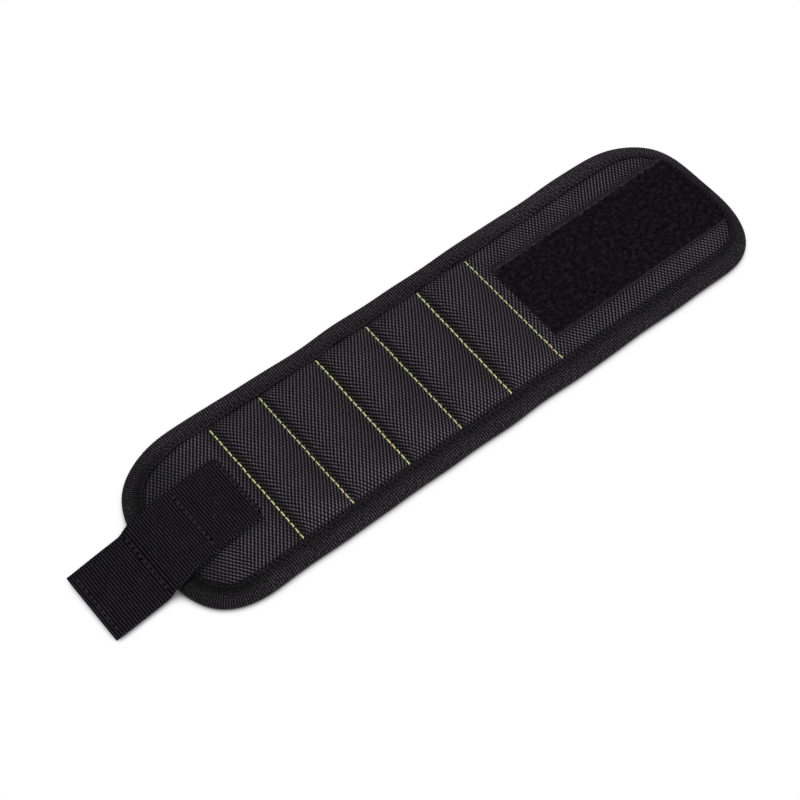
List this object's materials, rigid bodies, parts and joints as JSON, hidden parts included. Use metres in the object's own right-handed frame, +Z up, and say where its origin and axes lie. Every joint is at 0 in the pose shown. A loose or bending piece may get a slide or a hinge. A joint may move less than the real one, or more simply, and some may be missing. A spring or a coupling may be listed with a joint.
{
  "type": "magnetic wristband",
  "caption": "Flat padded wristband with magnets in sewn pockets, a bound edge, a hook tab on a webbing strap and a loop pad to close it on.",
  "frame": {"origin": "under the centre of the middle pocket, on the plane that the lining lies on", "axes": "+X along the band from the strap tab to the loop end, +Y across it, +Z up from the lining through the face"},
  "size_m": [0.3539, 0.0925, 0.0075],
  "materials": {
    "face_cloth": "heavy black polyester plain weave, slightly glossy yarn",
    "air_mesh": "black knitted air mesh, matte",
    "foam": "grey open-cell foam, matte",
    "binding": "black ribbed grosgrain tape, matte",
    "thread": "pale yellow polyester sewing thread, satin",
    "nickel": "nickel plate over a sintered block magnet",
    "webbing": "black ribbed polypropylene webbing, matte",
    "hooks": "black nylon hook tape",
    "pile": "black brushed nylon loop pile, very matte"
  },
  "bodies": {
    "pocket_3": {"pocket_3_face": "face_cloth", "pocket_3_lining": "air_mesh", "pocket_3_padding": "foam", "pocket_3_binding_far": "binding", "pocket_3_binding_near": "binding", "pocket_3_magnet_1": "nickel", "pocket_3_magnet_2": "nickel", "stitch_row_4": "thread"},
    "pocket_2": {"pocket_2_face": "face_cloth", "pocket_2_lining": "air_mesh", "pocket_2_padding": "foam", "pocket_2_binding_far": "binding", "pocket_2_binding_near": "binding", "pocket_2_magnet_1": "nickel", "pocket_2_magnet_2": "nickel", "stitch_row_3": "thread"},
    "pocket_1": {"pocket_1_face": "face_cloth", "pocket_1_lining": "air_mesh", "pocket_1_padding": "foam", "pocket_1_binding_far": "binding", "pocket_1_binding_near": "binding", "pocket_1_magnet_1": "nickel", "pocket_1_magnet_2": "nickel", "stitch_row_2": "thread"},
    "strap_end": {"strap_end_face": "face_cloth", "strap_end_lining": "air_mesh", "strap_end_binding": "binding", "stitch_row_1": "thread", "strap_anchor": "webbing"},
    "strap_tab": {"strap_tab_webbing": "webbing", "strap_tab_hooks": "hooks"},
    "pocket_4": {"pocket_4_face": "face_cloth", "pocket_4_lining": "air_mesh", "pocket_4_padding": "foam", "pocket_4_binding_far": "binding", "pocket_4_binding_near": "binding", "pocket_4_magnet_1": "nickel", "pocket_4_magnet_2": "nickel", "stitch_row_5": "thread"},
    "pocket_5": {"pocket_5_face": "face_cloth", "pocket_5_lining": "air_mesh", "pocket_5_padding": "foam", "pocket_5_binding_far": "binding", "pocket_5_binding_near": "binding", "pocket_5_magnet_1": "nickel", "pocket_5_magnet_2": "nickel", "stitch_row_6": "thread"},
    "loop_end_inner": {"loop_end_inner_face": "face_cloth", "loop_end_inner_lining": "air_mesh", "loop_end_inner_binding_far": "binding", "loop_end_inner_binding_near": "binding", "loop_pad_inner": "pile"},
    "loop_end_outer": {"loop_end_outer_face": "face_cloth", "loop_end_outer_lining": "air_mesh", "loop_end_outer_binding": "binding", "loop_pad_outer": "pile"}
  },
  "joints": [
    {"name": "fold_row_3", "type": "hinge", "parent": "pocket_3", "child": "pocket_2", "pos_m": [-0.0137, 0, 0.00335], "axis": [0, -1, 0], "range_deg": [-20, 32]},
    {"name": "fold_row_2", "type": "hinge", "parent": "pocket_2", "child": "pocket_1", "pos_m": [-0.0451, 0, 0.00335], "axis": [0, -1, 0], "range_deg": [-20, 31]},
    {"name": "fold_row_1", "type": "hinge", "parent": "pocket_1", "child": "strap_end", "pos_m": [-0.0721, 0, 0.00335], "axis": [0, -1, 0], "range_deg": [-20, 46]},
    {"name": "fold_tab", "type": "hinge", "parent": "strap_end", "child": "strap_tab", "pos_m": [-0.1314, 0, 0.00615], "axis": [0, -1, 0], "range_deg": [-120, 65.5]},
    {"name": "fold_row_4", "type": "hinge", "parent": "pocket_3", "child": "pocket_4", "pos_m": [0.0153, 0, 0.00335], "axis": [0, 1, 0], "range_deg": [-20, 32]},
    {"name": "fold_row_5", "type": "hinge", "parent": "pocket_4", "child": "pocket_5", "pos_m": [0.0446, 0, 0.00335], "axis": [0, 1, 0], "range_deg": [-20, 32]},
    {"name": "fold_row_6", "type": "hinge", "parent": "pocket_5", "child": "loop_end_inner", "pos_m": [0.0739, 0, 0.00335], "axis": [0, 1, 0], "range_deg": [-20, 52]},
    {"name": "fold_loop_end", "type": "hinge", "parent": "loop_end_inner", "child": "loop_end_outer", "pos_m": [0.1325, 0, 0.00335], "axis": [0, 1, 0], "range_deg": [-20, 69.5]}
  ]
}
